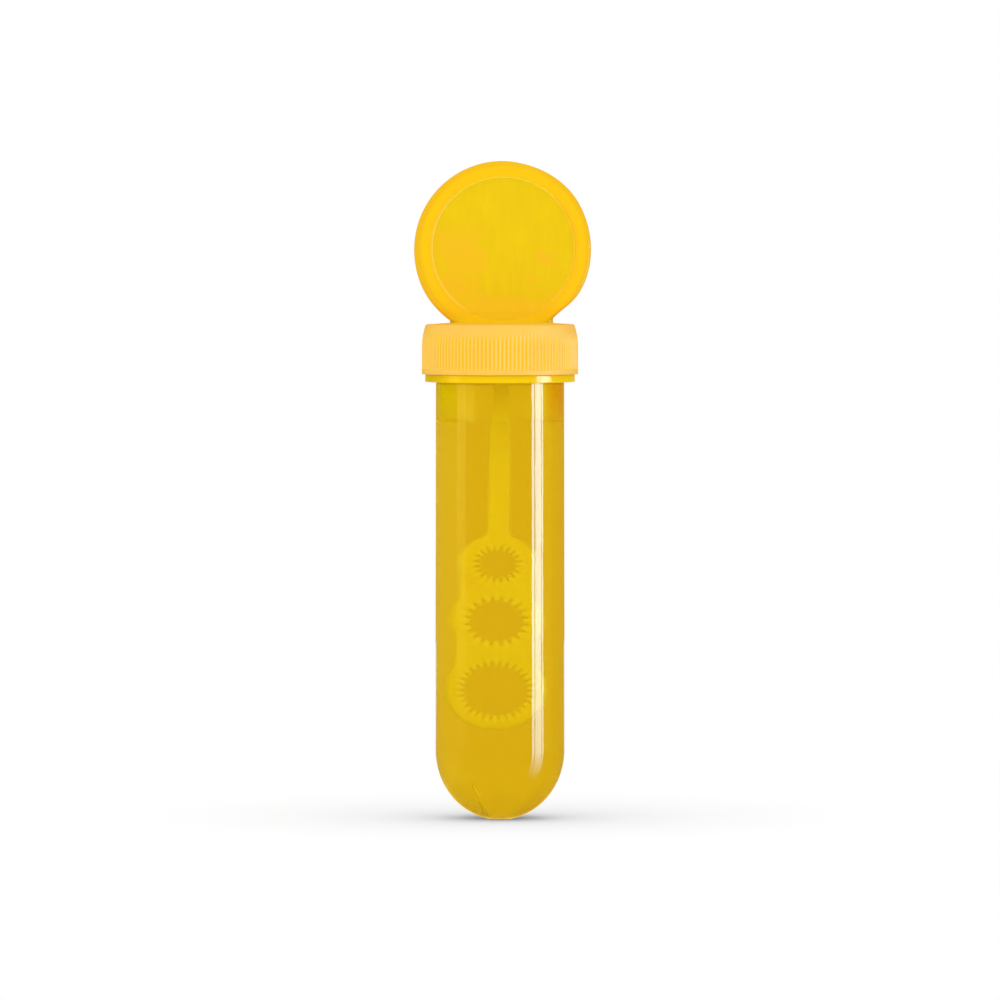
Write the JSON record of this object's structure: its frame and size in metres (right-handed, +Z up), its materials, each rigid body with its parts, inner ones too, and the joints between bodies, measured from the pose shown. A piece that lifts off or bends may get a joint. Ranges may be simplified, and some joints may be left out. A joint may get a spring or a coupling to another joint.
{
  "type": "bubble tube",
  "caption": "Round-bottomed bubble tube with a ribbed screw cap and a disc handle that carries a wand with toothed rings.",
  "frame": {"origin": "centre of the small flat at the tube's lowest point", "axes": "+Z up along the tube's axis; the handle's disc lies in the XZ plane and its pictured face looks along -Y"},
  "size_m": [0.0338, 0.0298, 0.1256],
  "materials": {
    "tube_plastic": "clear yellow, glossy",
    "washer_foam": "off-white foam",
    "cap_plastic": "satin yellow",
    "handle_plastic": "bright yellow, semi-gloss",
    "wand_plastic": "yellow, semi-gloss"
  },
  "bodies": {
    "tube": {"tube": "tube_plastic"},
    "washer": {"sealing_washer": "washer_foam"},
    "cap": {"screw_cap": "cap_plastic"},
    "wand": {"handle": "handle_plastic", "wand": "wand_plastic"}
  },
  "joints": [
    {"name": "cap_rise", "type": "slide", "parent": "tube", "child": "washer", "axis": [0, 0, 1], "range_m": [0, 0.003]},
    {"name": "cap_turn", "type": "hinge", "parent": "washer", "child": "cap", "pos_m": [0, 0, 0.0895], "axis": [0, 0, 1], "range_deg": [0, 360]},
    {"name": "wand_lift", "type": "slide", "parent": "cap", "child": "wand", "axis": [0, 0, 1], "range_m": [0, 0.08]}
  ],
  "couplings": [
    {"joint": "cap_rise", "follows": "cap_turn", "m_per_rad": 0.00047746}
  ]
}
